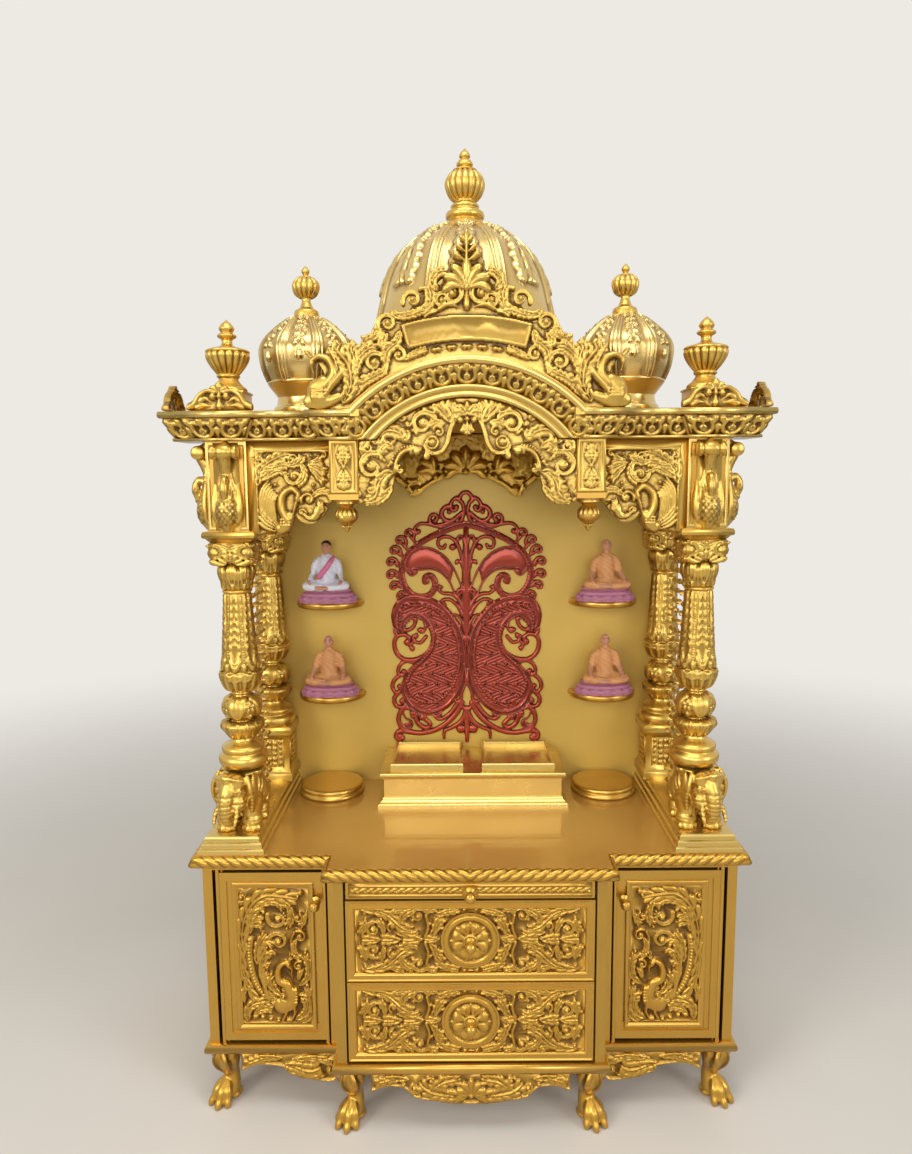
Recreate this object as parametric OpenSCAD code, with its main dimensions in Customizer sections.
// Carved home shrine: a breakfront cabinet on claw feet, with a domed pavilion for idols on its top.
// Millimetres. +X is to the right seen from the front, +Y the back, +Z up.
// The origin is on the floor, under the middle of the whole shrine.

/* [Table and cabinet] */
// Width of the table top over its rope edge
table_w = 1050; // [960:10:1200]
// Height of the table top above the floor
table_h = 526; // [500:2:600]
// Depth of the table top at the wings, over its rope edge
table_d = 412; // [400:2:470]
// Thickness of the table board, which is also the rope edge's diameter
table_t = 25; // [20:1:30]
// How far the table board stands past the cabinet's faces
table_over = 7.5; // [3:0.5:12]
// Distance from the origin back to the table's rear edge
rear_y = 240; // [235:1:260]
// Width of the cabinet's middle bay
bay_w = 500; // [470:2:540]
// How far the middle bay stands out before the wings
bay_out = 56; // [40:1:70]
// How far the cabinet's back stands in from the table's rear edge
cab_rear_in = 12; // [5:1:25]
// Thickness of the cabinet's upright boards
board_t = 18; // [14:1:22]
// Thickness of the cabinet's back board
back_board_t = 8; // [5:1:12]

/* [Feet and skirt] */
// Height of the feet up to the floor board
foot_h = 118; // [100:2:140]
// Radius of a foot at its knee
knee_r = 27; // [22:1:32]
// Radius of a foot at its ankle
ankle_r = 15; // [11:1:20]
// Radius of one toe
toe_r = 14; // [11:1:17]
// Thickness of the floor board and of the moulding round it
floor_t = 20; // [16:1:26]
// How far the bottom moulding stands out
mould_out = 10; // [6:1:14]
// Thickness of the carved skirt boards
skirt_t = 16; // [10:1:22]

/* [Doors] */
// Gap round each door, which clears its swing
door_gap = 6; // [5:0.5:9]
// Thickness of a door
door_t = 18; // [15:1:22]
// Height of the rail above the doors
rail_h = 8; // [6:1:14]
// Width of the stile between a door and the middle bay
stile_w = 20; // [14:1:28]
// Width of a door's moulded frame
door_frame = 32; // [22:1:42]
// Depth of the sunk panel in a door
door_sink = 6; // [3:1:9]
// Radius of a door's pivot pin
pin_r = 3; // [2:0.5:4]
// Gap between a pivot pin and its hole
pin_fit = 0.3; // [0.1:0.1:0.6]
// Depth of a pivot pin in its hole
pin_l = 6; // [4:0.5:7]

/* [Drawers] */
// Gap round each drawer front
drawer_gap = 5; // [5:0.5:8]
// Height of the pull-out tray's front
tray_h = 32; // [26:1:40]
// Thickness of a drawer front
front_t = 16; // [14:1:20]
// Thickness of a drawer box's sides and back
box_t = 10; // [7:1:13]
// Thickness of a drawer box's bottom
bottom_t = 6; // [4:1:8]
// Side gap between a drawer box and the bay's walls
runner_gap = 12; // [10:1:16]
// Width of the runner strips that carry the drawers
runner_w = 20; // [16:1:24]
// Thickness of the runner strips
runner_t = 9; // [7:1:11]
// Gap between a drawer box and the runners under it
slide_fit = 0.3; // [0.2:0.1:0.6]
// Room left behind a closed drawer
drawer_back_gap = 15; // [8:1:30]
// Width of a drawer front's plain border
drawer_border = 14; // [10:1:20]
// Depth of the sunk panel in a drawer front
drawer_sink = 5; // [3:1:8]
// Outer radius of the ring round a drawer's rosette
rosette_r = 54; // [46:1:58]
// How far the knobs stand out from a drawer front
knob_out = 32; // [26:1:38]
// Radius of a knob's ball
knob_r = 10.5; // [8:0.5:13]

/* [Plinths and elephants] */
// Width of a plinth at its foot
plinth_w = 126; // [110:2:140]
// Height of a plinth
plinth_h = 31; // [24:1:40]
// Distance from a plinth's outer foot to the table board's edge
plinth_edge = 1.5; // [0:0.5:6]
// Height of an elephant, from the plinth to the pillar on its back
elephant_h = 122; // [110:1:135]
// Width of an elephant's body
elephant_w = 84; // [70:1:96]

/* [Pillars] */
// Distance from the table's side edges in to the pillars' axes
pillar_side = 90; // [82:1:96]
// Distance from the table's front edge back to the front pillars' axes
pillar_in = 84; // [78:1:92]
// Height of a pillar with its base and capital
pillar_h = 451; // [430:1:500]
// Height of a pillar's turned base, up to the foot of its shaft
base_h = 204; // [195:1:215]
// Height of a pillar's ring, collar and capital above its shaft
head_h = 120; // [114:1:126]
// Radius of the shaft at its foot
shaft_r = 35; // [30:1:38]
// Radius of the shaft at its top
shaft_top_r = 24; // [20:1:27]
// Half width of the square slab on a capital
abacus_r = 48; // [44:1:50]
// Thickness of the square slab on a capital
abacus_t = 13; // [9:1:17]
// Width of the square pedestals under the rear pillars
pedestal_w = 90; // [80:2:96]

/* [Back wall and fittings] */
// Thickness of the back wall
wall_t = 12; // [8:1:16]
// How far the back wall's rear face stands in from the table's rear edge
wall_in = 10; // [2:1:16]
// Half width of the red pierced panel
red_r = 182; // [150:2:200]
// Height of the red panel's foot above the table top
red_z = 91; // [80:1:120]
// Height of the red panel
red_h = 583; // [540:1:600]
// Thickness of the red panel
red_t = 8; // [5:1:12]
// Radius of the half-round shelves
shelf_r = 72; // [60:1:76]
// Thickness of the shelves
shelf_t = 14; // [10:1:20]
// Distance from a pillar's axis in to a shelf's middle
shelf_in = 127; // [121:1:135]
// Heights of the two shelves' tops above the table top
shelf_tops = [216, 427];
// Radius of the low round stands
stand_r = 72; // [60:1:74]
// Height of the low round stands
stand_h = 22; // [16:1:30]
// How far a low stand's middle stands before the back wall
stand_in = 66; // [60:1:70]
// Gap between a low stand and the plinth beside it
stand_gap = 8; // [4:1:14]

// Height of a seated figure with its lotus seat
figure_h = 133; // [120:1:140]

/* [Throne] */
// Gap between the throne's foot and the low stand beside it
throne_gap = 21; // [10:1:60]
// Height of the throne's seat slab above the table top
throne_h = 78; // [60:1:88]
// How far the throne reaches out before the back wall
throne_d = 176; // [150:1:190]
// How far right of the middle the throne stands
throne_x = 10; // [-12:1:12]
// How far the raised trays stand in from the throne's ends
tier_side = 27; // [14:1:40]
// Height of the raised trays
tier_h = 17; // [12:1:24]
// Gap between the two raised trays
tier_gap = 40; // [20:1:50]
// How far the trays stand in from the throne's front
tier_in = 21; // [12:1:30]
// Wall of a raised tray
tier_wall = 7; // [5:1:10]

/* [Upper frame] */
// Width of the square posts over the pillars
post_w = 73; // [66:1:80]
// Height of the posts
post_h = 163; // [150:1:180]
// Thickness of the carved panels between the posts
panel_t = 14; // [10:1:18]
// Width of the hanging posts beside the arch
drop_w = 52; // [44:1:60]
// Distance from the middle to the inner face of a hanging post
drop_x = 195; // [188:1:205]
// Height of the hanging posts above their caps' feet
drop_h = 106; // [96:1:112]
// Length of the turned drop under a hanging post
drop_tip = 60; // [50:1:66]

/* [Cornice and arch] */
// Height of the cornice's lower moulding
lower_mould = 6; // [4:1:9]
// Height of the leaf frieze between the mouldings
frieze_h = 34; // [28:1:40]
// Height of the cornice's top moulding
top_mould = 12; // [9:1:16]
// How far the leaf frieze flares outwards
flare = 18; // [12:1:22]
// How far the mouldings stand out from the frieze
mould_lip = 4; // [2:0.5:5]
// Radius of the arch's outer moulding
arch_r = 288; // [282:1:294]
// Drop of the arch's centre below the foot of the cornice
arch_drop = 145; // [140:1:150]
// Width of the arch's outer moulding
arch_band = 13; // [10:1:16]
// Radius of the arch's inner opening
arch_in_r = 218; // [214:1:222]
// Width of the arch's inner moulding
arch_in_band = 22; // [16:1:26]
// Thickness of the roof board
roof_t = 24; // [16:1:30]

/* [Crest and domes] */
// Thickness of the carved crest
crest_t = 14; // [10:1:18]
// Height of the crest above the cornice
crest_h = 297; // [280:1:310]
// Radius of the middle dome at its widest
dome_r = 178; // [165:1:182]
// Height of the middle dome, up to its finial
dome_h = 358; // [340:1:380]
// Height of the middle dome's finial
finial_h = 152; // [140:1:165]
// Radius of the side domes at their widest
side_dome_r = 89; // [80:1:92]
// Height of the side domes, up to their finials
side_dome_h = 182; // [170:1:195]
// Height of the side domes' finials
side_finial_h = 104; // [95:1:115]
// Distance from a pillar's axis in to a side dome's axis
side_dome_in = 127; // [121:1:135]
// Distance of the middle dome's axis behind the front pillars
dome_back = 138; // [134:1:146]
// Distance of the side domes' axes behind the front pillars
side_dome_back = 106; // [96:1:120]
// Height of the middle dome's widest part above the roof
dome_belly = 165; // [150:1:180]
// Height of the side domes' widest part above the roof
side_dome_belly = 120; // [100:1:130]
// Wall of the domes
dome_wall = 9; // [6:1:14]
// Width of a dome's ribs
rib_w = 9; // [6:1:12]
// How far a dome's ribs stand out
rib_out = 4; // [2:0.5:6]
// Height of the corner urns with their blocks
urn_h = 167; // [155:1:180]
// Radius of an urn's bowl
urn_r = 39; // [34:1:42]
// Height of the carved leaves at the cornice's corners
leaf_h = 50; // [40:1:60]

/* [Hidden] */
$fn = 48;
GOLD = "#c8981f";
DARK_GOLD = "#a87816";
PALE_GOLD = "#d8c060";
OLIVE = "#b8993a";
RED = "#a8402f";
OCHRE = "#b87838";
WHITE = "#d8dce8";
// A hair's gap between curved faces of neighbouring pieces
seat = 0.3;
eps = 0.01;

// Levels, from the floor up
cab_z = foot_h + floor_t;
cab_top = table_h - table_t;
plinth_z = table_h + plinth_h;
pillar_z = plinth_z + elephant_h;
post_z = pillar_z + pillar_h;
beam_z = post_z + post_h;
frieze_z = beam_z + lower_mould;
mould_z = frieze_z + frieze_h;
roof_z = mould_z + top_mould;

// Faces of the table and the cabinet, from the rear forwards
rope_r = table_t / 2;
edge_x = table_w / 2 - rope_r;
edge_y = rear_y - table_d + rope_r;
wing_x = edge_x - table_over;
wing_y = edge_y + table_over;
bay_x = bay_w / 2;
bay_y = wing_y - bay_out;
bay_edge_x = bay_x + table_over;
bay_edge_y = bay_y - table_over;
cab_rear = rear_y - cab_rear_in;
inner_rear = cab_rear - back_board_t;

// Back wall, pillars and pedestals
wall_y = rear_y - wall_in - wall_t;
pillar_x = table_w / 2 - pillar_side;
front_y = rear_y - table_d + pillar_in;
back_y = wall_y - abacus_r - seat;
plinth_x = edge_x - plinth_edge - plinth_w / 2;
post_r = post_w / 2;
wall_r = pillar_x + pedestal_w / 2;
shelf_x = pillar_x - shelf_in;
stand_x = plinth_x - plinth_w / 2 - stand_gap - stand_r;
throne_r = stand_x - stand_r - throne_gap - abs(throne_x);
tier_w = throne_r - tier_side - tier_gap / 2;
side_dome_x = pillar_x - side_dome_in;

// ---------- shared shapes ----------

// Points of a round bead on a turned profile, from z0 to z1, standing out from radius r
function bead(z0, z1, r, out, n = 6) =
    [for (i = [0:n]) [r + out * sin(180 * i / n), z0 + (z1 - z0) * i / n]];

// Points of a smooth S curve from radius r0 at z0 to radius r1 at z1
function ease(z0, z1, r0, r1, n = 5) =
    [for (i = [0:n]) [r0 + (r1 - r0) * (1 - cos(180 * i / n)) / 2, z0 + (z1 - z0) * i / n]];

// The left half of an outline is the right half's mirror image
function both(pts) = concat(pts, [for (i = [len(pts) - 1:-1:0]) [-pts[i][0], pts[i][1]]]);

// A box from its two corners
module span(a, b) {
    translate(a) cube(b - a);
}

// The same shape on the right and on the left
module pair() {
    children();
    mirror([1, 0, 0]) children();
}

// A solid turned about the upright axis
module turned(pts, n = 48) {
    first = pts[0];
    last = pts[len(pts) - 1];
    rotate_extrude($fn = n) polygon(concat([[0, first[1]]], pts, [[0, last[1]]]));
}

// A flat outline in X and Z, made into a board whose front is at y
module board(y, t) {
    translate([0, y + t, 0]) rotate([90, 0, 0]) linear_extrude(t) children();
}

// A ball squashed or stretched to three radii
module egg(c, r, n = 14) {
    translate(c) scale(r) sphere(1, $fn = n);
}

// A limb that tapers from one ball to another
module limb(a, ra, b, rb, n = 10) {
    hull() {
        translate(a) sphere(ra, $fn = n);
        translate(b) sphere(rb, $fn = n);
    }
}

// A knob of a ball on a short neck, standing out along -Y from a face at y
module knob(x, y, z) {
    translate([x, y, z]) rotate([90, 0, 0]) turned(concat(
        [[knob_r * 0.9, -eps], [knob_r * 0.9, 3], [knob_r * 0.45, 6]],
        [for (a = [36:22.5:171]) [knob_r * sin(a), knob_out - knob_r * (1 + cos(a))]],
        [[knob_r * 0.2, knob_out]]));
}

// ---------- feet, skirt and cabinet ----------

// The outline of the cabinet seen from above, grown by g
module cabinet_plan(g = 0) {
    polygon([[-wing_x - g, cab_rear], [-wing_x - g, wing_y - g], [-bay_x - g, wing_y - g],
        [-bay_x - g, bay_y - g], [bay_x + g, bay_y - g], [bay_x + g, wing_y - g],
        [wing_x + g, wing_y - g], [wing_x + g, cab_rear]]);
}

// One claw foot: three toes that point along the angle a, an ankle and a knee
module foot(x, y, a) {
    reach = 20;
    ankle_z = 58;
    toe = concat([[toe_r * 0.7, 0]],
        [for (i = [0:4]) [toe_r * cos(20 * i), toe_r * (0.45 + 1.3 * sin(20 * i))]]);
    translate([x, y, 0]) rotate([0, 0, a]) {
        for (t = [-1:1]) rotate([0, 0, t * 34]) translate([0, -reach, 0]) turned(toe, 12);
        turned(concat([[17, 0], [19, 12]], ease(22, ankle_z, 19, ankle_r, 4),
            ease(ankle_z + 6, foot_h - 24, ankle_r, knee_r, 4),
            [[knee_r, foot_h - 8], [knee_r - 1, foot_h]]), 16);
    }
}

foot_in = knee_r + 3;

module feet() {
    color(GOLD) {
        pair() foot(bay_x - foot_in + 6, bay_y + foot_in, 30);
        pair() foot(wing_x - foot_in + 6, wing_y + foot_in, 38);
        pair() foot(wing_x - foot_in + 6, cab_rear - foot_in, 140);
    }
}

// Outline of a skirt's right half, x1 wide: a deep middle lobe, an ear and a high arch by the foot
function skirt(x1) = [for (p = [[0, 64], [0.15, 62], [0.36, 58], [0.5, 54], [0.57, 50], [0.61, 42],
    [0.69, 30], [0.85, 28], [1, 38], [1, 0]]) [x1 * p[0], foot_h - p[1]]];

// Outline of a wing's skirt, with its lobe towards the middle bay at x0 and its arch by the foot at x1
function wing_skirt(x0, x1) = [[x0, foot_h], [x0, foot_h - 48], [x0 + 20, foot_h - 62],
    [x0 + 45, foot_h - 60], [x0 + 80, foot_h - 52], [x0 + 104, foot_h - 44], [x0 + 114, foot_h - 30],
    [x1 - 30, foot_h - 26], [x1, foot_h - 40], [x1, foot_h]];

module aprons() {
    foot_x = bay_x - 2 * foot_in + 6 - seat;
    wing_foot_x = wing_x - 2 * foot_in + 6 - seat;
    side_y0 = wing_y + 2 * foot_in + seat;
    side_y1 = cab_rear - 2 * foot_in - seat;
    side_mid = (side_y0 + side_y1) / 2;
    color(DARK_GOLD) {
        board(bay_y, skirt_t) polygon(both(skirt(foot_x)));
        pair() board(wing_y, skirt_t) polygon(wing_skirt(bay_x, wing_foot_x));
        pair() translate([wing_x - skirt_t, side_mid, 0]) rotate([90, 0, 90]) linear_extrude(skirt_t)
            polygon(both(skirt((side_y1 - side_y0) / 2)));
    }
}

pin_x = wing_x - board_t - door_gap - door_t / 2;
pin_y = wing_y + door_t / 2;

module floor_board() {
    color(DARK_GOLD) difference() {
        translate([0, 0, foot_h]) linear_extrude(floor_t) cabinet_plan();
        pair() translate([pin_x, pin_y, cab_z - pin_l]) cylinder(pin_l + 1, r = pin_r + pin_fit);
    }
}

// A strip with a round nose round the floor board, on the front and the sides
module bottom_moulding() {
    nose = mould_out - floor_t / 4;
    color(GOLD) difference() {
        union() {
            translate([0, 0, foot_h]) linear_extrude(floor_t) cabinet_plan(nose);
            translate([0, 0, foot_h + floor_t / 4]) linear_extrude(floor_t / 2) cabinet_plan(mould_out);
        }
        translate([0, 0, foot_h - 1]) linear_extrude(floor_t + 2) cabinet_plan();
        span([-table_w, cab_rear, 0], [table_w, table_w, table_h]);
    }
}

module side_walls() {
    color(GOLD) pair() span([wing_x - board_t, wing_y, cab_z], [wing_x, cab_rear, cab_top]);
}

// Heights of the three drawer fronts: [foot, top]
tray_z = [cab_top - drawer_gap - tray_h, cab_top - drawer_gap];
drawer_h = (tray_z[0] - cab_z - 3 * drawer_gap) / 2;
lower_z = [cab_z + drawer_gap, cab_z + drawer_gap + drawer_h];
upper_z = [lower_z[1] + drawer_gap, lower_z[1] + drawer_gap + drawer_h];
bay_in = bay_x - board_t;

// How far above its front's foot each drawer box starts, and where the box's top stays below the next runner
box_lift = runner_t + slide_fit - drawer_gap + 1.5;

// The two walls of the middle bay with the strips that the drawers run on
module partitions() {
    color(DARK_GOLD) pair() {
        span([bay_in, bay_y, cab_z], [bay_x, inner_rear, cab_top]);
        for (z = [lower_z[0], upper_z[0], tray_z[0]])
            span([bay_in - runner_w, bay_y + front_t + drawer_gap, z + box_lift - slide_fit - runner_t],
                [bay_in, inner_rear, z + box_lift - slide_fit]);
    }
}

module back_board() {
    color(DARK_GOLD) span([-wing_x + board_t, inner_rear, cab_z], [wing_x - board_t, cab_rear, cab_top]);
}

// Stiles beside the middle bay and the rails over the doors, which hold the upper pivots
module face_frame() {
    color(GOLD) difference() {
        pair() {
            span([bay_x, wing_y, cab_z], [bay_x + stile_w, wing_y + door_t, cab_top]);
            span([bay_x, wing_y, cab_top - rail_h], [wing_x - board_t, wing_y + door_t, cab_top]);
        }
        pair() translate([pin_x, pin_y, cab_top - rail_h - 1]) cylinder(pin_l + 1, r = pin_r + pin_fit);
    }
}

module table_board() {
    color(DARK_GOLD) translate([0, 0, cab_top]) linear_extrude(table_t)
        polygon([[-edge_x, rear_y], [-edge_x, edge_y], [-bay_edge_x, edge_y], [-bay_edge_x, bay_edge_y],
            [bay_edge_x, bay_edge_y], [bay_edge_x, edge_y], [edge_x, edge_y], [edge_x, rear_y]]);
}

// A round rod between two points on the board's edge, with a ball at its first end
module rod(a, b) {
    d = b - a;
    translate([a[0], a[1], cab_top + rope_r]) {
        sphere(rope_r);
        rotate([0, 0, atan2(d[1], d[0])]) rotate([0, 90, 0]) cylinder(norm(d), r = rope_r);
    }
}

module rope_edge() {
    color(GOLD) difference() {
        pair() {
            rod([0, bay_edge_y], [bay_edge_x, bay_edge_y]);
            rod([bay_edge_x, bay_edge_y], [bay_edge_x, edge_y]);
            rod([bay_edge_x, edge_y], [edge_x, edge_y]);
            rod([edge_x, edge_y], [edge_x, rear_y]);
        }
        table_board();
        span([-table_w, rear_y, 0], [table_w, table_w, table_h + 1]);
    }
}

// ---------- doors and drawers ----------

door_x0 = bay_x + stile_w + door_gap;
door_z0 = cab_z + door_gap;
door_z1 = cab_top - rail_h - door_gap;

// A door that turns on pins at its outer edge; s is 1 on the right and -1 on the left
module door(s) {
    color(GOLD) mirror([s < 0 ? 1 : 0, 0, 0]) {
        difference() {
            union() {
                span([door_x0, wing_y, door_z0], [pin_x, wing_y + door_t, door_z1]);
                translate([pin_x, pin_y, door_z0]) cylinder(door_z1 - door_z0, r = door_t / 2);
            }
            span([door_x0 + door_frame / 2, wing_y - 1, door_z0 + door_frame / 2],
                [pin_x - door_frame / 3, wing_y + door_sink / 2, door_z1 - door_frame / 2]);
            span([door_x0 + door_frame / 2, wing_y - 1, door_z0 + door_frame],
                [pin_x - door_frame, wing_y + door_sink, door_z1 - door_frame]);
        }
        translate([pin_x, pin_y, cab_z - pin_l + 1]) cylinder(door_gap + pin_l, r = pin_r);
        translate([pin_x, pin_y, door_z1 - 1]) cylinder(door_gap + pin_l, r = pin_r);
        knob(door_x0 + door_frame / 2, wing_y + door_sink / 2, door_z1 - door_frame - knob_r * 2.5);
    }
}

module left_door() {
    door(-1);
}

module right_door() {
    door(1);
}

front_x = bay_in - drawer_gap;
box_x = bay_in - runner_gap;
box_rear = inner_rear - drawer_back_gap;

// A drawer: its front between the heights z[0] and z[1], and an open box behind it
module drawer(z) {
    box_z = z[0] + box_lift;
    box_top = z[1] - box_lift;
    span([-front_x, bay_y, z[0]], [front_x, bay_y + front_t, z[1]]);
    difference() {
        span([-box_x, bay_y + front_t, box_z], [box_x, box_rear, box_top]);
        span([-box_x + box_t, bay_y + front_t, box_z + bottom_t],
            [box_x - box_t, box_rear - box_t, z[1] + 1]);
    }
}

// A drawer front's sunk panel, seen from the front
module sunk_panel(z) {
    span([-front_x + drawer_border, bay_y - 1, z[0] + drawer_border],
        [front_x - drawer_border, bay_y + drawer_sink, z[1] - drawer_border]);
}

// The ring round a drawer's rosette, and its knob
module rosette(z) {
    mid = (z[0] + z[1]) / 2;
    ring = 9;
    translate([0, bay_y + drawer_sink, mid]) rotate([90, 0, 0]) {
        difference() {
            cylinder(drawer_sink - 1, r = rosette_r);
            translate([0, 0, -1]) cylinder(drawer_sink + 1, r = rosette_r - ring);
        }
        cylinder(drawer_sink - 1, r = rosette_r - 2 * ring);
    }
    knob(0, bay_y, mid);
}

module carved_drawer(z) {
    color(GOLD) {
        difference() {
            drawer(z);
            sunk_panel(z);
        }
        rosette(z);
        translate([0, bay_y + drawer_sink, (z[0] + z[1]) / 2]) rotate([90, 0, 0])
            cylinder(drawer_sink + eps, r = knob_r);
    }
}

module upper_drawer() {
    carved_drawer(upper_z);
}

module lower_drawer() {
    carved_drawer(lower_z);
}

module tray() {
    color(GOLD) {
        drawer(tray_z);
        knob(0, bay_y, tray_z[0] + tray_h * 0.4);
    }
}

// ---------- plinths, elephants and pillars ----------

// A stepped plinth along each side of the pavilion
module plinths() {
    steps = 3;
    total_in = 11;
    color(GOLD) pair() for (i = [0:steps - 1]) {
        g = total_in * i / (steps - 1);
        span([plinth_x - plinth_w / 2 + g, edge_y + g, table_h],
            [plinth_x + plinth_w / 2 - g, wall_y, table_h + plinth_h * (i + 1) / steps]);
    }
}

// An elephant that carries a pillar, its head to the front and turned outwards by the angle a
module elephant(a) {
    drawn_w = 84;
    h = 122;
    r = drawn_w / 2;
    neck = [0, -26, h * 0.68];
    wide = elephant_w / drawn_w;
    color(GOLD) scale([wide, wide, elephant_h / h]) {
        difference() {
            union() {
                egg([0, 0, h * 0.62], [r, 44, h * 0.33], 20);
                for (x = [-1, 1], y = [-1, 1])
                    limb([x * r * 0.52, y * 25, h * 0.5], 16, [x * r * 0.55, y * 27, 8], 13);
                translate(neck) rotate([0, 0, a]) {
                    egg([0, -14, 4], [25, 22, 27], 14);
                    for (x = [-1, 1]) egg([x * 27, -3, 2], [11, 6, 22], 10);
                    limb([0, -30, -4], 10, [1, -36, -28], 8, 8);
                    limb([1, -36, -28], 8, [6, -36, -52], 6, 8);
                    limb([6, -36, -52], 6, [16, -35, -60], 5, 8);
                    for (x = [-1, 1]) limb([x * 10, -24, -16], 4, [x * 16, -38, -24], 2.5, 8);
                }
                translate([0, 4, h * 0.8]) cylinder(h * 0.2, r = 34);
            }
            translate([-100, -100, -50]) cube([200, 200, 50]);
        }
        for (x = [-1, 1], y = [-1, 1])
            translate([x * r * 0.55, y * 27, 0]) cylinder(9, r = 14.5, $fn = 16);
    }
}

module left_elephant() {
    translate([-pillar_x - 6, front_y, plinth_z]) elephant(-14);
}

module right_elephant() {
    translate([pillar_x + 6, front_y, plinth_z]) elephant(14);
}

// A turned pillar: base of tori, leaf ring, bulb and cup; a tapering shaft; a collar and a capital
module pillar(x, y) {
    shaft_h = pillar_h - base_h - head_h;
    top = base_h + shaft_h;
    w = shaft_r / 35;
    h = base_h / 204;
    base = concat([[40, 0]], bead(4, 24, 40, 6), [[37, 26]], bead(28, 39, 35, 5), ease(39, 52, 34, 22, 3),
        bead(56, 81, 24, 11), [[19, 86]], bead(90, 136, 17, 21, 8), [[18, 141], [18, 144]],
        ease(146, 180, 20, 37), [[37, 190]]);
    translate([x, y, pillar_z]) {
        turned(concat([for (p = base) [p[0] * w, p[1] * h]],
            [[shaft_r, base_h], [shaft_r - 4, base_h + 10]],
            [[shaft_top_r, top]], bead(top, top + 8, shaft_top_r, 5, 4),
            bead(top + 10, top + 58, 21 * w, 12 * w, 8),
            [[21 * w, top + 61]], ease(top + 63, pillar_h - abacus_t, 23 * w, 40 * w)));
        translate([-abacus_r, -abacus_r, pillar_h - abacus_t]) cube([2 * abacus_r, 2 * abacus_r, abacus_t]);
        for (s = [-1, 1]) translate([s * (abacus_r - 14), -abacus_r + 4, pillar_h - abacus_t - 11])
            rotate([-90, 0, 0]) cylinder(2 * abacus_r - 8, r = 11);
    }
}

module front_pillars() {
    color(GOLD) pair() pillar(pillar_x, front_y);
}

module rear_pillars() {
    r = pedestal_w / 2;
    sink = 4;
    color(GOLD) pair() {
        pillar(pillar_x, back_y);
        difference() {
            span([pillar_x - r, back_y - r, plinth_z], [pillar_x + r, wall_y, pillar_z]);
            span([pillar_x - r + 14, back_y - r - 1, plinth_z + 26],
                [pillar_x + r - 14, back_y - r + sink, pillar_z - 18]);
            span([pillar_x - r - 1, back_y - r + 14, plinth_z + 26],
                [pillar_x - r + sink, wall_y - 14, pillar_z - 18]);
        }
    }
}

// Lattice sides, between the front and the rear pillars
lattice_y0 = front_y + abacus_r + seat;
lattice_y1 = back_y - abacus_r - seat;

module lattice() {
    t = 8;
    rim = 10;
    bar = 7;
    pitch = 64;
    w = lattice_y1 - lattice_y0;
    h = post_z - plinth_z;
    n = ceil((w + h) / pitch);
    translate([pillar_x - t / 2, lattice_y0, plinth_z]) rotate([90, 0, 90]) linear_extrude(t) {
        difference() {
            square([w, h]);
            translate([rim, rim]) square([w - 2 * rim, h - 2 * rim]);
        }
        intersection() {
            square([w, h]);
            union() for (i = [-n:n]) {
                translate([w / 2, i * pitch]) rotate(62) square([3 * h, bar], center = true);
                translate([w / 2, i * pitch]) rotate(-62) square([3 * h, bar], center = true);
            }
        }
    }
}

module left_lattice() {
    color(GOLD) mirror([1, 0, 0]) lattice();
}

module right_lattice() {
    color(GOLD) lattice();
}

// ---------- back wall, shelves, figures and throne ----------

module back_wall() {
    color(OLIVE) span([-wall_r, wall_y, table_h], [wall_r, wall_y + wall_t, beam_z]);
}

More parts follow.
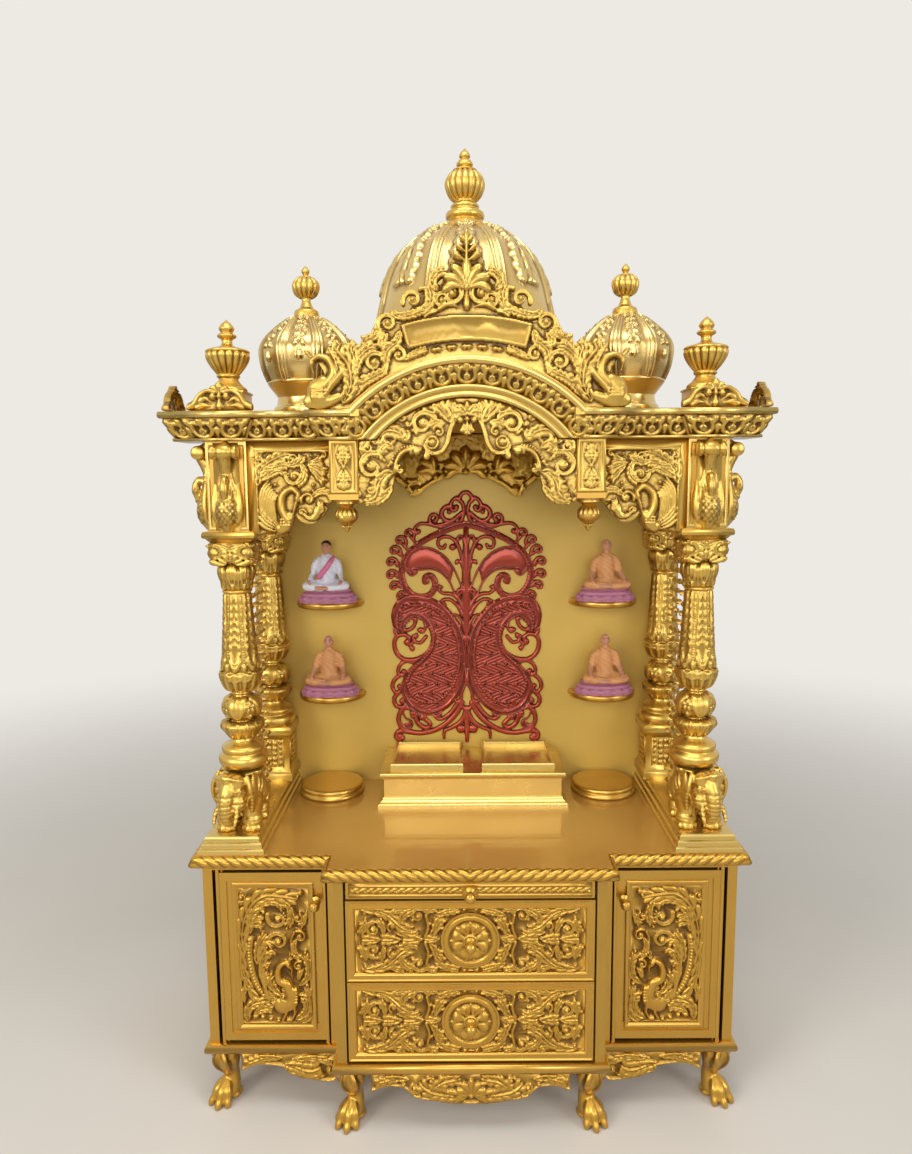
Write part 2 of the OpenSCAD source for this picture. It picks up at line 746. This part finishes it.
// Strokes of the red fretwork's right half: [width at the start, width at the end, points], all in
// hundredths of the fretwork's half width (across) and of its height (up)
FRET_STROKES = [
    [5.2, 5.2, [[0, 99], [4.4, 98.5], [7.5, 97], [7.9, 95.8]]],
    [4.8, 5.2, [[7.9, 95.8], [4.4, 95], [2.4, 92.8], [3.6, 89.9], [7.9, 87.2]]],
    [5.6, 4, [[7.3, 95.9], [11.9, 96.8], [17.5, 95.3], [18.6, 93.3], [15.1, 91.9], [11.5, 92.4]]],
    [6.3, 5.2, [[17.9, 93.7], [25.8, 92.9], [30.4, 90.8], [26.6, 88.6], [19, 87.9], [11.5, 89.4], [5.6,
        91]]],
    [5.2, 4.4, [[19, 87.7], [28.6, 86.7], [39.3, 86.3], [44.4, 87.8], [43.6, 89.9], [38.1, 90.6], [34.9,
        89.4], [36.9, 88.2]]],
    [5.2, 4, [[10.3, 86.9], [26.2, 85.5], [44.4, 86.8], [56.3, 87], [63.1, 85.3], [61.9, 83.5], [57.9,
        83.6]]],
    [7.5, 6, [[0, 86.7], [12.3, 85.8], [30.2, 83.8], [46, 81.5], [59.9, 78.8], [70.8, 75.5], [77.8, 71.7],
        [80.2, 67.2], [76.2, 62.7], [67.1, 59.5], [55.9, 58.5], [45.2, 59.5], [39.3, 62.2], [39.7, 65.1],
        [44.8, 66.9], [50.8, 66.2], [51.2, 64.5]]],
    [5.2, 9.9, [[0, 86.9], [0, 84.6], [0, 80.8], [0, 75.6], [0, 70.5], [0, 65.4]]],
    [8.7, 11.9, [[0, 65.4], [0, 60.3], [0, 55.1]]],
    [11.9, 4.8, [[0, 55.1], [0, 50], [0, 42.9]]],
    [3.2, 3.2, [[2, 78.8], [4, 81.4], [7.5, 82.4], [10.7, 81.4], [9.5, 80.4]]],
    [3.6, 3.2, [[2.4, 66.7], [4.8, 70.4], [7.9, 72.4], [11.9, 72.6], [12.7, 71.5]]],
    [4.8, 4.4, [[4, 69.9], [6.3, 75], [11.5, 79.5], [19.4, 81.7], [28.6, 81.9], [34.5, 80.4], [33.3,
        78.1], [27.8, 77.6], [25.8, 78.8]]],
    [5.2, 4.4, [[0.8, 59], [4, 61.2], [8.7, 61.3], [10.7, 59.9], [9.5, 58.3]]],
    [5.2, 4, [[4.4, 53.8], [10.3, 57.7], [19, 59.6], [28.2, 59.9], [34.1, 61.2], [34.1, 62.7], [30.6,
        62.3]]],
    [5.2, 4, [[4.8, 51.3], [11.5, 55.1], [20.6, 57.4], [29.4, 57.2], [32.5, 55.4], [28.2, 54.4]]],
    [4, 3.2, [[2.4, 44.9], [5.2, 48.3], [10.3, 50.9], [15.9, 51.5], [18.3, 50.6]]],
    [5.2, 5.2, [[0, 40.4], [0, 33.3], [0, 25]]],
    [4, 4, [[0.8, 24.4], [6, 20.5], [7.5, 16.7], [4.4, 14.1], [0, 13.1]]],
    [4, 4, [[6.3, 18.6], [9.5, 16.3], [15.1, 17.3], [13.5, 19.1]]],
    [5.2, 4.4, [[83.7, 47.2], [75.8, 45.4], [67.9, 46.4], [63.9, 49], [67.9, 51.2], [74.6, 51], [77,
        49.6]]],
    [4.8, 4, [[59.1, 51.2], [52.8, 49], [51.6, 46.3], [55.9, 44.5], [60.3, 45.5]]],
    [4.8, 4, [[50.8, 42.8], [57.9, 40.4], [65.5, 41], [67.1, 42.8], [62.3, 43.7]]],
    [6.3, 4.8, [[41.3, 40.4], [48, 36.5], [61.9, 33.8], [77, 33.6], [87.3, 35.9], [90.9, 39.7], [87.7,
        42.8], [78.6, 43.7], [72.2, 42.2], [74.6, 40.1]]],
    [4, 3.6, [[65.5, 41.4], [71, 39.1], [67.9, 37.4]]],
    [4.8, 4.8, [[83.7, 47.2], [89.7, 45.4], [87.3, 43.2]]],
    [5.2, 4, [[63.9, 32.2], [76.2, 33.1], [84.9, 31], [86.5, 28.3], [80.6, 27.3], [77.4, 28.7]]],
    [5.2, 4.4, [[82.9, 27.7], [91.3, 25.5], [94.4, 22.6], [89.7, 20.4], [83.7, 21.2], [84.1, 22.8]]],
    [5.6, 4.8, [[85.7, 20.6], [92.1, 17.9], [89.7, 15], [80.6, 14.5], [77, 16.3], [80.9, 17.6]]],
    [6, 4.8, [[65.1, 14.7], [77.8, 14.2], [85.3, 12.1], [86.9, 8.7], [82.9, 5.8], [77, 4.2]]],
    [4.8, 4, [[73.8, 13.8], [66.3, 13.6], [64.7, 11.5], [69.8, 10.4]]],
    [6.7, 5.6, [[6.3, 16], [14.3, 11.5], [26.2, 7.7], [42.1, 4.9], [59.9, 3.8], [77, 4.5], [86.9, 4.5],
        [90.5, 2.6], [86.5, 0.9], [82.1, 1.9]]],
    [5.6, 4.4, [[10.3, 16.7], [22.2, 11.5], [34.5, 9.5], [41.3, 11.3], [38.1, 13.1], [33.3, 12.1]]],
    [5.2, 6, [[50, 5.8], [46.8, 7.4], [53.2, 9.6], [55.9, 11.8], [62.3, 12.3], [65.1, 10.3], [61.1, 7.3],
        [52.4, 5.8]]],
    [7.1, 3.6, [[1.2, 11.8], [7.9, 8.3], [18.3, 6.2], [28.2, 4.7], [29.4, 1.7]]],
    [8.7, 4.8, [[0, 13.5], [0, 7.7], [0, 0.5]]],
    [4, 4, [[68.2, 82], [59.9, 78.8]]],
    [4, 4, [[78.6, 79.2], [69.2, 76]]],
    [4, 4, [[84.9, 75.7], [74.2, 73.7]]],
    [4, 4, [[88.5, 71.7], [78.2, 71.1]]],
    [4, 4, [[88.5, 67.1], [80.2, 67.2]]],
    [4, 4, [[85.3, 63], [77.2, 63.8]]],
    [4, 4, [[78.2, 59.7], [72.4, 61.3]]]];
// Filled lobes of the fretwork: the horn-shaped lobe, the paisley and the drop in the corner
FRET_LOBES = [
    [[5.2, 60.9], [8.7, 64.7], [15.5, 69.6], [26.2, 74.2], [40.9, 77.2], [55.9, 77.8], [68.2, 75.9], [75,
        72.3], [74.6, 69], [68.2, 66.9], [62.3, 67.7], [60.3, 69.1], [54, 69.2], [44, 69.4], [34.9, 68.6],
        [27, 66.7], [19.4, 63.5], [12.3, 59]],
    [[4, 38.5], [5.6, 42.3], [11.5, 47], [20.2, 51], [31, 54.6], [45.2, 57], [61.1, 58.1], [75, 57.7],
        [84.9, 55.6], [89.7, 51.8], [87.7, 47], [82.9, 46.3], [80.2, 49], [73, 51.2], [65.5, 52], [55.9,
        50.9], [47.2, 48.5], [41.7, 44.7], [40.9, 40.9], [44.8, 37], [54.8, 33.3], [67.9, 29.6], [76.6,
        25.4], [79, 21.2], [74.6, 17.2], [64.7, 14], [50.4, 12.4], [35.7, 13.3], [22.2, 16.3], [11.5, 21],
        [4.8, 27.3], [2.4, 33.6]],
    [[82.5, 12.7], [86.5, 10], [82.9, 7.3], [76.2, 5.5], [69.8, 6.7], [71, 8.7], [78.2, 10]]];
// Round eyes of the scrolls: [across, up, radius]
FRET_EYES = [
    [11.7, 93.3, 4], [20.6, 91.5, 3.6], [37.5, 88.3, 4], [58.9, 84, 4], [49.6, 64.6, 4.4],
    [16.7, 77.9, 4.8], [9.3, 81, 3.2], [11.1, 72, 2.8], [64.3, 68.5, 4.4], [28.2, 55.4, 4],
    [17.7, 50.9, 3], [0, 42, 5.6], [0, 25.3, 4], [75, 49.6, 4.4], [57.3, 45.5, 4], [63.5, 42.9, 3.6],
    [74.6, 40.5, 4.8], [68.4, 38.1, 4], [79.4, 28.8, 4], [84.9, 22.8, 4], [82.1, 16.8, 4.4],
    [69.2, 11.8, 4.4], [85.7, 2.4, 4.8], [36.5, 11.2, 4.4], [57.1, 10.1, 4.4], [7.9, 5.3, 6.3],
    [33.3, 62.2, 2.8]];
// Rings along the edge of the fretwork's head: [across, up, radius]
FRET_RINGS = [
    [71.4, 83.2, 6.7], [82.1, 80.4, 7.1], [89.3, 76.5, 7.1], [93.6, 71.9, 7.1], [93.6, 67, 7.1],
    [90.1, 62.6, 6.7], [81.7, 58.6, 6.7]];

// A stroke along pts with round joints, whose width goes from w0 to w1
module stroke(pts, w0, w1) {
    n = len(pts) - 1;
    for (i = [0:n - 1]) hull() {
        translate(pts[i]) circle(d = w0 + (w1 - w0) * i / n, $fn = 6);
        translate(pts[i + 1]) circle(d = w0 + (w1 - w0) * (i + 1) / n, $fn = 6);
    }
}

// Points given in hundredths, at their real place
function fret_points(pts) = [for (p = pts) [p[0] * red_r / 100, p[1] * red_h / 100]];

// Half of the pierced fretwork
module fret_half() {
    unit = red_r / 100;
    for (s = FRET_STROKES) stroke(fret_points(s[2]), s[0] * unit, s[1] * unit);
    for (p = FRET_LOBES) polygon(fret_points(p));
    for (e = FRET_EYES) translate([e[0] * unit, e[1] * red_h / 100]) circle(e[2] * unit, $fn = 10);
    for (e = FRET_RINGS) translate([e[0] * unit, e[1] * red_h / 100]) difference() {
        circle(e[2] * unit, $fn = 14);
        circle(e[2] * unit * 0.4, $fn = 8);
    }
}

module red_panel() {
    color(RED) translate([0, 0, table_h + red_z]) board(wall_y - red_t, red_t) union() {
        fret_half();
        mirror([1, 0]) fret_half();
    }
}

module shelves() {
    color(GOLD) pair() for (z = shelf_tops) intersection() {
        translate([shelf_x, wall_y, table_h + z - shelf_t]) turned(concat(
            [[shelf_r - 9, 0]], bead(2, shelf_t - 2, shelf_r - 4, 4, 4), [[shelf_r - 4, shelf_t]]));
        span([0, -rear_y, 0], [table_w, wall_y, roof_z]);
    }
}

module low_stands() {
    color(GOLD) pair() intersection() {
        translate([stand_x, wall_y - stand_in, table_h]) turned(concat(
            [[stand_r - 2, 0], [stand_r, 2], [stand_r, 7], [stand_r - 5, 9]],
            bead(10, stand_h - 1, stand_r - 5, 5, 4), [[stand_r - 4, stand_h]]));
        span([0, -rear_y, 0], [table_w, wall_y, roof_z]);
    }
}

module throne() {
    r = throne_r;
    y0 = wall_y - throne_d;
    base = 22;
    slab = 8;
    cove = 13;
    slab_in = 9;
    color(GOLD) translate([throne_x, 0, table_h]) {
        span([-r, y0, 0], [r, wall_y, base * 0.6]);
        span([-r + 6, y0 + 6, base * 0.6], [r - 6, wall_y, base]);
        span([-r + cove, y0 + cove, base], [r - cove, wall_y, throne_h - slab]);
        span([-r + slab_in, y0 + slab_in, throne_h - slab], [r - slab_in, wall_y, throne_h]);
        for (s = [-1, 1]) {
            x0 = s > 0 ? tier_gap / 2 : -tier_gap / 2 - tier_w;
            difference() {
                span([x0, y0 + tier_in, throne_h - eps], [x0 + tier_w, wall_y - tier_in, throne_h + tier_h]);
                span([x0 + tier_wall, y0 + tier_in + tier_wall, throne_h + 4],
                    [x0 + tier_w - tier_wall, wall_y - tier_in - tier_wall, throne_h + tier_h + 1]);
            }
        }
    }
}

// A small seated figure with crossed legs on a round lotus seat
module figure(x, z, robe) {
    drawn_h = 133;
    translate([x, wall_y - 44, z]) scale(figure_h / drawn_h) {
        color("#a0607a") turned(concat([[34, 0]], bead(0, 18, 34, 6, 6), [[36, 19]]));
        color(robe) {
            egg([0, 0, 30], [50, 34, 15], 16);
            for (s = [-1, 1]) egg([s * 36, -12, 29], [17, 17, 11], 12);
            egg([0, 4, 62], [27, 19, 32], 16);
            for (s = [-1, 1]) {
                limb([s * 27, 2, 82], 10, [s * 37, -6, 56], 9);
                limb([s * 37, -6, 56], 9, [s * 15, -26, 44], 7);
            }
        }
        color("#b07058") {
            limb([0, 2, 92], 9, [0, 0, 104], 9);
            egg([0, 0, 115], [15, 16, 18], 16);
        }
    }
}

module upper_left_figure() {
    figure(-shelf_x, table_h + shelf_tops[1], WHITE);
}

module upper_right_figure() {
    figure(shelf_x, table_h + shelf_tops[1], OCHRE);
}

module lower_left_figure() {
    figure(-shelf_x, table_h + shelf_tops[0], OCHRE);
}

module lower_right_figure() {
    figure(shelf_x, table_h + shelf_tops[0], OCHRE);
}

// ---------- upper frame ----------

module corner_posts() {
    color(PALE_GOLD) pair() for (y = [front_y, back_y])
        span([pillar_x - post_r, y - post_r, post_z], [pillar_x + post_r, y + post_r, beam_z]);
}

// Side view of a bracket that stands out from a post, under the cornice
function bracket_side(out) = [[0, 3], [-out * 0.55, 8], [-out * 0.75, 22], [-out * 0.6, 40],
    [-out * 0.4, 62], [-out * 0.35, 100], [-out * 0.5, 122], [-out, 132], [-out, post_h - 12],
    [-out * 0.7, post_h - 2], [0, post_h - 2]];

module bracket(out) {
    w = 46;
    translate([-w / 2, 0, 0]) rotate([90, 0, 90]) linear_extrude(w) polygon(bracket_side(out));
}

module post_brackets() {
    front_out = 22;
    side_out = 38;
    color(GOLD) pair() {
        translate([pillar_x, front_y - post_r, post_z]) bracket(front_out);
        translate([pillar_x + post_r, front_y, post_z]) rotate([0, 0, 90]) bracket(side_out);
        translate([pillar_x + post_r, back_y, post_z]) rotate([0, 0, 90]) bracket(side_out);
    }
}

// Front faces of the upper frame's pieces
drop_y = front_y - 54;
drop_z = beam_z - drop_h;
beam_y = drop_y + drop_w;
arch_panel_y = drop_y + 3;
arch_back = arch_panel_y + panel_t;
front_panel_y = front_y - 24;

module hanging_posts() {
    cap = 9;
    lip = 4;
    drop_mid = drop_x + drop_w / 2;
    color(PALE_GOLD) pair() {
        span([drop_x, drop_y, drop_z + cap], [drop_x + drop_w, beam_y, beam_z]);
        span([drop_x, drop_y - lip, drop_z], [drop_x + drop_w, beam_y + lip, drop_z + cap]);
        translate([drop_mid, (drop_y + beam_y) / 2, drop_z - drop_tip]) turned(concat(
            [[2, 0]], ease(1, 10, 3, 8, 3), [[5, 12]], bead(13, 42, 7, 14, 8), [[9, 44], [13, 48], [20, 52],
            [20, 56], [23, drop_tip]]));
    }
}

// Lower edge of a front frieze panel: [share of its width, drop under its top as a share of the post's
// height], from the hanging post outwards; the hanging post's side and the corner post's side close it
FRIEZE_EDGE = [
    [0.13, 0.515], [0.2, 0.38], [0.3, 0.356], [0.41, 0.319], [0.49, 0.245], [0.58, 0.307],
    [0.71, 0.405], [0.76, 0.589], [0.8, 0.663], [0.84, 0.81], [0.92, 0.988], [1, 0.988]];

function frieze_outline(x0, x1, z1) = concat(
    [[x0, z1], [x0, drop_z + 12], [x0 + (x1 - x0) * 0.05, drop_z + 8]],
    [for (p = FRIEZE_EDGE) [x0 + (x1 - x0) * p[0], z1 - post_h * p[1]]], [[x1, z1]]);

module front_friezes() {
    x0 = drop_x + drop_w;
    x1 = pillar_x - post_r;
    rail = 16;
    rail_out = 6;
    color(PALE_GOLD) pair() {
        board(front_panel_y, panel_t) polygon(frieze_outline(x0, x1, beam_z));
        span([x0, front_panel_y - rail_out, beam_z - rail], [x1, front_panel_y + panel_t + rail_out, beam_z]);
    }
}

// Side panels over the lattices, with a lobe hanging beside each post
module side_friezes() {
    y0 = front_y + post_r;
    y1 = back_y - post_r;
    half = (y1 - y0) / 2;
    color(PALE_GOLD) pair() translate([pillar_x - panel_t / 2, (y0 + y1) / 2, post_z]) rotate([90, 0, 90])
        linear_extrude(panel_t) polygon(both([[0, 58], [22, 62], [half - 44, 40], [half - 24, 10],
            [half - 12, 0], [half, 0], [half, post_h]]));
}

arch_z = beam_z - arch_drop;

// Outline of the arch panel's opening, right half: a hanging key, then cusps down to the side lobes
function arch_opening(z) = [[0, z + 6], [9, z + 24], [26, z + 26], [31, z + 8], [48, z - 8], [58, z - 16],
    [72, z - 34], [88, z - 40], [104, z - 46], [122, z - 72], [136, z - 92], [146, z - 112], [154, z - 118],
    [drop_x - 14, z - 114], [drop_x + 1, z - 100], [drop_x + 1, z - 300], [0, z - 300]];

module arch_panel() {
    board_r = arch_in_r - seat;
    color(PALE_GOLD) board(arch_panel_y, panel_t) difference() {
        union() {
            translate([-drop_x, drop_z + 1]) square([2 * drop_x, drop_h - 1]);
            intersection() {
                translate([0, arch_z]) circle(board_r, $fn = 96);
                translate([-drop_x, beam_z - eps]) square([2 * drop_x, arch_r]);
            }
        }
        polygon(both(arch_opening(beam_z)));
    }
}

// Lower edge of the inner valance, from the middle outwards: [share of its half width, drop as a share of
// the post's height]
VALANCE_EDGE = [
    [0, 0.564], [0.065, 0.466], [0.11, 0.589], [0.21, 0.724], [0.276, 0.847], [0.33, 0.724],
    [0.4, 0.613], [0.527, 0.638], [0.657, 0.736], [0.753, 0.92], [0.828, 1.141], [1, 1.147]];

// A carved board that hangs from the roof before the back wall
module inner_valance() {
    x1 = cornice_in;
    z1 = roof_z - roof_t;
    color(DARK_GOLD) board(wall_y - 34, 12)
        polygon(both(concat([for (p = VALANCE_EDGE) [x1 * p[0], z1 - post_h * p[1]]], [[x1, z1]])));
}

// ---------- cornice, roof and crest ----------

// A run of cornice over the plan from x0 to x1 and y0 to y1. The four numbers in f say
// whether the left, right, front and rear faces flare outwards (1) or stay upright (0)
module cornice_run(x0, x1, y0, y1, f) {
    low = mould_lip;
    high = flare + mould_lip;
    span([x0 - f[0] * low, y0 - f[2] * low, beam_z], [x1 + f[1] * low, y1 + f[3] * low, frieze_z]);
    hull() {
        span([x0, y0, frieze_z], [x1, y1, frieze_z + eps]);
        span([x0 - f[0] * flare, y0 - f[2] * flare, mould_z - eps],
            [x1 + f[1] * flare, y1 + f[3] * flare, mould_z]);
    }
    span([x0 - f[0] * high, y0 - f[2] * high, mould_z], [x1 + f[1] * high, y1 + f[3] * high, roof_z]);
}

// Lines of the cornice seen from above
corner_x0 = pillar_x - post_r + 2;
corner_x1 = pillar_x + post_r + 18;
corner_out = pillar_x + 90;
corner_y0 = front_y - 42;
bay_cornice_y = front_y - 32;
drop_x1 = drop_x + drop_w + 14;
side_x = pillar_x + post_r + 8;
cornice_in = pillar_x - post_r - 4;
block_r = 42;

// A stretch of the arch's moulding: its section between radii r0 and r1, its front at y0 and y1
module arch_ring(r0, r1, y0, y1, half_angle) {
    translate([0, 0, arch_z]) rotate([90, 0, 0]) rotate([0, 0, 90 - half_angle])
        rotate_extrude(angle = 2 * half_angle, $fn = 120)
            polygon([[r0, -arch_back], [r1, -arch_back], [r1, -y1], [r0, -y0]]);
}

module front_cornice() {
    arch_mid = arch_in_r + arch_in_band;
    arch_top = arch_r - arch_band;
    foot_angle = acos(arch_drop / arch_mid) + 2;
    top_angle = acos((roof_z - arch_z) / arch_r);
    rim_y = drop_y - flare - mould_lip;
    color(GOLD) {
        difference() {
            union() {
                arch_ring(arch_in_r, arch_mid, drop_y - mould_lip, drop_y - mould_lip - 4, foot_angle + 8);
                arch_ring(arch_mid, arch_top, drop_y, drop_y - flare, foot_angle);
                arch_ring(arch_top, arch_r, rim_y, rim_y, top_angle);
            }
            span([-table_w, -table_w, 0], [table_w, table_w, beam_z]);
        }
        pair() {
            cornice_run(drop_x - 6, drop_x1, drop_y, beam_y, [0, 1, 1, 0]);
            cornice_run(drop_x1, corner_x0, bay_cornice_y, beam_y, [0, 0, 1, 0]);
            cornice_run(corner_x0, corner_x1, corner_y0, beam_y, [1, 1, 1, 0]);
            cornice_run(corner_x0, corner_out, front_y - block_r + 12, front_y + block_r, [0, 1, 1, 0]);
            span([cornice_in, beam_y, beam_z], [corner_x0, front_y + block_r, roof_z]);
        }
    }
}

module side_cornices() {
    y0 = front_y + block_r;
    y1 = back_y - block_r;
    color(GOLD) pair() {
        cornice_run(cornice_in, side_x, y0, y1, [0, 1, 0, 0]);
        cornice_run(cornice_in, corner_out, y1, wall_y - 4, [0, 1, 0, 0]);
    }
}

module rear_cornice() {
    color(GOLD) {
        cornice_run(-corner_out, corner_out, wall_y - 4, wall_y + wall_t, [1, 1, 0, 0]);
    }
}

module roof_board() {
    tab = drop_x - 6;
    color(DARK_GOLD) {
        span([-cornice_in, beam_y, roof_z - roof_t], [cornice_in, wall_y - 4, roof_z]);
        span([-tab, arch_back, roof_z - roof_t], [tab, beam_y + 1, roof_z]);
    }
}

// Outline of the crest's right half in shares of the arch's radius and the crest's height: swan at the
// end, leaves and scrolls rising to a palmette
CREST_EDGE = [
    [0, 1], [0.049, 0.96], [0.09, 0.879], [0.118, 0.791], [0.167, 0.744], [0.215, 0.731],
    [0.292, 0.69], [0.34, 0.636], [0.431, 0.529], [0.507, 0.522], [0.583, 0.455], [0.639, 0.394],
    [0.708, 0.34], [0.785, 0.347], [0.861, 0.327], [0.931, 0.32], [0.972, 0.253], [0.944, 0.178],
    [0.993, 0.098], [1, 0.04], [0.958, 0], [0.694, 0]];

// The plaque is a band bowed about a point under the roof: that depth, its two radii and its half width,
// in shares of the arch's radius
PLAQUE = [0.903, 1.302, 1.448, 0.389];

module crest() {
    plaque_y = drop_y - 16;
    swan_x = arch_r - 24;
    color(GOLD) difference() {
        union() {
            translate([0, 0, roof_z]) board(plaque_y, crest_t)
                polygon(both([for (p = CREST_EDGE) [p[0] * arch_r, p[1] * crest_h]]));
            translate([0, 0, roof_z]) board(plaque_y - 4, 5) intersection() {
                difference() {
                    translate([0, -PLAQUE[0] * arch_r]) circle(PLAQUE[2] * arch_r);
                    translate([0, -PLAQUE[0] * arch_r]) circle(PLAQUE[1] * arch_r);
                }
                polygon([[0, -arch_r * 0.7], [PLAQUE[3] * arch_r, arch_r * 0.52],
                    [-PLAQUE[3] * arch_r, arch_r * 0.52]]);
            }
            pair() {
                egg([swan_x, plaque_y + 2, roof_z + 28], [22, 15, 26], 16);
                limb([swan_x + 8, plaque_y, roof_z + 40], 9, [swan_x - 8, plaque_y, roof_z + 72], 7);
                limb([swan_x - 8, plaque_y, roof_z + 72], 7, [swan_x + 2, plaque_y - 1, roof_z + 86], 7.5);
            }
        }
        translate([0, beam_y, arch_z]) rotate([90, 0, 0]) cylinder(table_d, r = arch_r + seat, $fn = 120);
        span([-table_w, -table_w, 0], [table_w, table_w, roof_z]);
    }
}

// ---------- domes, finials and urns ----------

// Outer profile of a dome: ringed neck, lip and a bowl that is widest, at radius r, at the height belly
// and closes towards the height h. A power k over 1 makes its shoulders leaner
function dome_profile(r, h, ring, belly, k, top) = concat(
    [[r * 0.76, 0], [r * 0.76, ring * 0.8]], ease(ring, ring * 1.5, r * 0.72, r * 0.67, 3),
    ease(ring * 1.7, ring * 2.5, r * 0.7, r * 0.86, 3), [[r * 0.88, ring * 2.6]],
    [for (i = [0:4]) [r * (0.87 + 0.13 * sin(22.5 * i)), ring * 3 + (belly - ring * 3) * i / 4]],
    [for (i = [1:8]) let (a = top * i / 8) [r * pow(cos(a), k), belly + (h - belly) * sin(a) / sin(top)]]);

// A hollow dome with eight ribs on its bowl
module dome(x, y, r, h, ring, belly, k, top) {
    outer = dome_profile(r, h, ring, belly, k, top);
    inner = dome_profile(r - dome_wall, h - dome_wall, ring, belly, k, top);
    bowl = [for (p = outer) if (p[1] > ring * 2.9) p];
    translate([x, y, roof_z]) {
        difference() {
            turned(outer);
            turned(concat([[inner[0][0], -1]], inner));
        }
        intersection() {
            difference() {
                turned([for (p = bowl) [p[0] + rib_out, p[1]]]);
                turned([for (p = bowl) [p[0] - dome_wall / 2, p[1]]]);
            }
            for (i = [0:3]) rotate([0, 0, 22.5 + 45 * i])
                translate([-2 * r, -rib_w / 2, 0]) cube([4 * r, rib_w, h]);
        }
    }
}

dome_y = front_y + dome_back;
side_dome_y = front_y + side_dome_back;

module middle_dome() {
    color(GOLD) dome(0, dome_y, dome_r, dome_h, 24, dome_belly, 1, 75);
}

module side_domes() {
    color(GOLD) for (s = [-1, 1])
        dome(s * side_dome_x, side_dome_y, side_dome_r, side_dome_h, 21, side_dome_belly, 1.2, 65);
}

// A turned finial with a fluted melon, scaled in height by h and in width by r
function finial_profile(r, h) = concat(
    [[r, 0], [r, h * 0.04]], ease(h * 0.05, h * 0.14, r * 0.8, r * 0.62, 3),
    bead(h * 0.16, h * 0.25, r * 0.62, r * 0.16, 4), bead(h * 0.26, h * 0.33, r * 0.52, r * 0.14, 4),
    [[r * 0.42, h * 0.36], [r * 0.42, h * 0.4]],
    bead(h * 0.41, h * 0.74, r * 0.42, r * 0.46, 8), [[r * 0.2, h * 0.76], [r * 0.2, h * 0.78]],
    bead(h * 0.78, h * 0.86, r * 0.2, r * 0.2, 4), [[r * 0.18, h * 0.88]],
    bead(h * 0.89, h * 0.95, r * 0.18, r * 0.1, 4), [[1, h]]);

module finials() {
    color(GOLD) {
        translate([0, dome_y, roof_z + dome_h]) turned(finial_profile(dome_r * 0.247, finial_h));
        for (s = [-1, 1]) translate([s * side_dome_x, side_dome_y, roof_z + side_dome_h])
            turned(finial_profile(side_dome_r * 0.382, side_finial_h));
    }
}

// An urn on a square block, over each front corner
module corner_urns() {
    r = urn_r;
    block = 33;
    b = 38;
    color(GOLD) pair() translate([pillar_x, front_y, roof_z]) {
        translate([-block, -block, 0]) cube([2 * block, 2 * block, b]);
        turned(concat([[r * 0.85, b - eps], [r * 0.85, b + 6]], ease(b + 8, b + 21, r * 0.7, r * 0.42, 3),
            bead(b + 22, b + 29, r * 0.42, r * 0.1, 4), ease(b + 30, b + 62, r * 0.45, r * 0.95, 5),
            [[r, b + 68], [r * 0.9, b + 76], [r * 0.4, b + 82], [r * 0.28, b + 94]],
            bead(b + 96, b + 106, r * 0.3, r * 0.15, 4), [[r * 0.28, b + 109], [r * 0.38, b + 113],
            [r * 0.3, b + 120], [1, urn_h]]));
    }
}

// Outline of a carved leaf, right half
function leaf_outline(h) = [[0, h], [9, h * 0.86], [16, h * 0.72], [32, h * 0.68], [44, h * 0.5],
    [54, h * 0.16], [56, 0]];

module corner_leaves() {
    t = 10;
    front = corner_y0 - flare;
    side = corner_out + flare;
    color(GOLD) pair() {
        translate([(corner_x0 + corner_x1) / 2 - 8, 0, roof_z]) board(front, t)
            polygon(both(leaf_outline(leaf_h)));
        translate([side - t, front_y, roof_z]) rotate([90, 0, 90]) linear_extrude(t)
            polygon(both([for (p = leaf_outline(leaf_h)) [p[0] * 0.8, p[1]]]));
    }
}

feet();
aprons();
floor_board();
bottom_moulding();
side_walls();
partitions();
back_board();
face_frame();
table_board();
rope_edge();
left_door();
right_door();
upper_drawer();
lower_drawer();
tray();
plinths();
left_elephant();
right_elephant();
front_pillars();
rear_pillars();
left_lattice();
right_lattice();
back_wall();
red_panel();
shelves();
low_stands();
throne();
upper_left_figure();
upper_right_figure();
lower_left_figure();
lower_right_figure();
corner_posts();
post_brackets();
hanging_posts();
front_friezes();
side_friezes();
arch_panel();
inner_valance();
front_cornice();
side_cornices();
rear_cornice();
roof_board();
crest();
middle_dome();
side_domes();
finials();
corner_urns();
corner_leaves();
